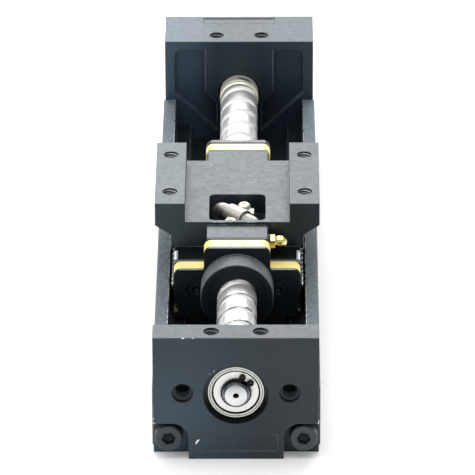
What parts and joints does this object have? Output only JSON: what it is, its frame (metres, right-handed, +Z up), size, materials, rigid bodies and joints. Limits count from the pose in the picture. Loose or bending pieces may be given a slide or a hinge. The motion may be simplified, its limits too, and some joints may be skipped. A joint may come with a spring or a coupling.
{
  "type": "ball screw linear stage",
  "caption": "Compact linear stage: a grooved ball screw in a U-shaped guide rail drives a slider with a mounting table between two bearing housings.",
  "frame": {"origin": "centre of the rail's underside", "axes": "+X across the rail to the grease nipple's side, +Y along the screw to the drive end, +Z up"},
  "size_m": [0.056, 0.2848, 0.0461],
  "materials": {
    "black_steel": "satin black surface-treated steel",
    "black_housing": "satin black surface-treated cast housing",
    "black_screws": "black oxide",
    "bearing_steel": "polished bearing steel",
    "shield_steel": "pressed bright sheet steel",
    "cage_brass": "pressed brass",
    "spring_steel": "dark phosphated spring steel",
    "screw_steel": "ground and polished steel",
    "zinc_steel": "yellow zinc plate",
    "tube_steel": "drawn steel tube",
    "black_resin": "moulded black resin",
    "cream_resin": "porous cream lubricant resin",
    "seal_rubber": "moulded nitrile rubber on steel",
    "nipple_brass": "turned brass"
  },
  "bodies": {
    "base": {"rail": "black_steel", "front_housing": "black_housing", "rear_housing": "black_housing", "front_housing_screws": "black_screws", "rear_housing_screws": "black_screws", "front_bearing_outer_ring": "bearing_steel", "front_bearing_shields": "shield_steel", "rear_bearing_outer_rings": "bearing_steel", "rear_bearing_retainer": "black_housing", "retainer_screws": "black_screws"},
    "screw": {"screw_shaft": "screw_steel", "front_bearing_inner_ring": "bearing_steel", "front_circlip": "spring_steel", "rear_bearing_inner_rings": "bearing_steel", "rear_spacer": "zinc_steel", "bearing_lock_nut": "black_screws"},
    "carriage": {"slider_block": "black_steel", "return_tube": "tube_steel", "tube_clamp": "zinc_steel", "tube_clamp_screws": "zinc_steel", "nut_balls": "bearing_steel", "left_guide_balls": "bearing_steel", "right_guide_balls": "bearing_steel", "front_end_cap": "black_resin", "rear_end_cap": "black_resin", "front_lube_plate": "cream_resin", "rear_lube_plate": "cream_resin", "front_seal_plate": "seal_rubber", "rear_seal_plate": "seal_rubber", "front_cap_screws": "black_screws", "rear_cap_screws": "black_screws", "seal_collar": "black_resin", "grease_nipple": "nipple_brass"},
    "front_cage": {"front_bearing_cage": "cage_brass", "front_bearing_balls": "bearing_steel"},
    "rear_cage": {"rear_bearing_cages": "cage_brass", "rear_bearing_balls": "bearing_steel"}
  },
  "joints": [
    {"name": "screw_spin", "type": "hinge", "parent": "base", "child": "screw", "pos_m": [0, 0, 0.0237], "axis": [0, 1, 0], "range_deg": [-2341, 2107]},
    {"name": "carriage_slide", "type": "slide", "parent": "base", "child": "carriage", "axis": [0, 1, 0], "range_m": [-0.0585, 0.065]},
    {"name": "front_cage_spin", "type": "hinge", "parent": "base", "child": "front_cage", "pos_m": [0, 0, 0.0237], "axis": [0, 1, 0], "range_deg": [-890, 801]},
    {"name": "rear_cage_spin", "type": "hinge", "parent": "base", "child": "rear_cage", "pos_m": [0, 0, 0.0237], "axis": [0, 1, 0], "range_deg": [-890, 801]}
  ],
  "couplings": [
    {"joint": "screw_spin", "follows": "carriage_slide", "rad_per_m": -628.32},
    {"joint": "front_cage_spin", "follows": "carriage_slide", "rad_per_m": -238.76},
    {"joint": "rear_cage_spin", "follows": "carriage_slide", "rad_per_m": -238.76}
  ]
}
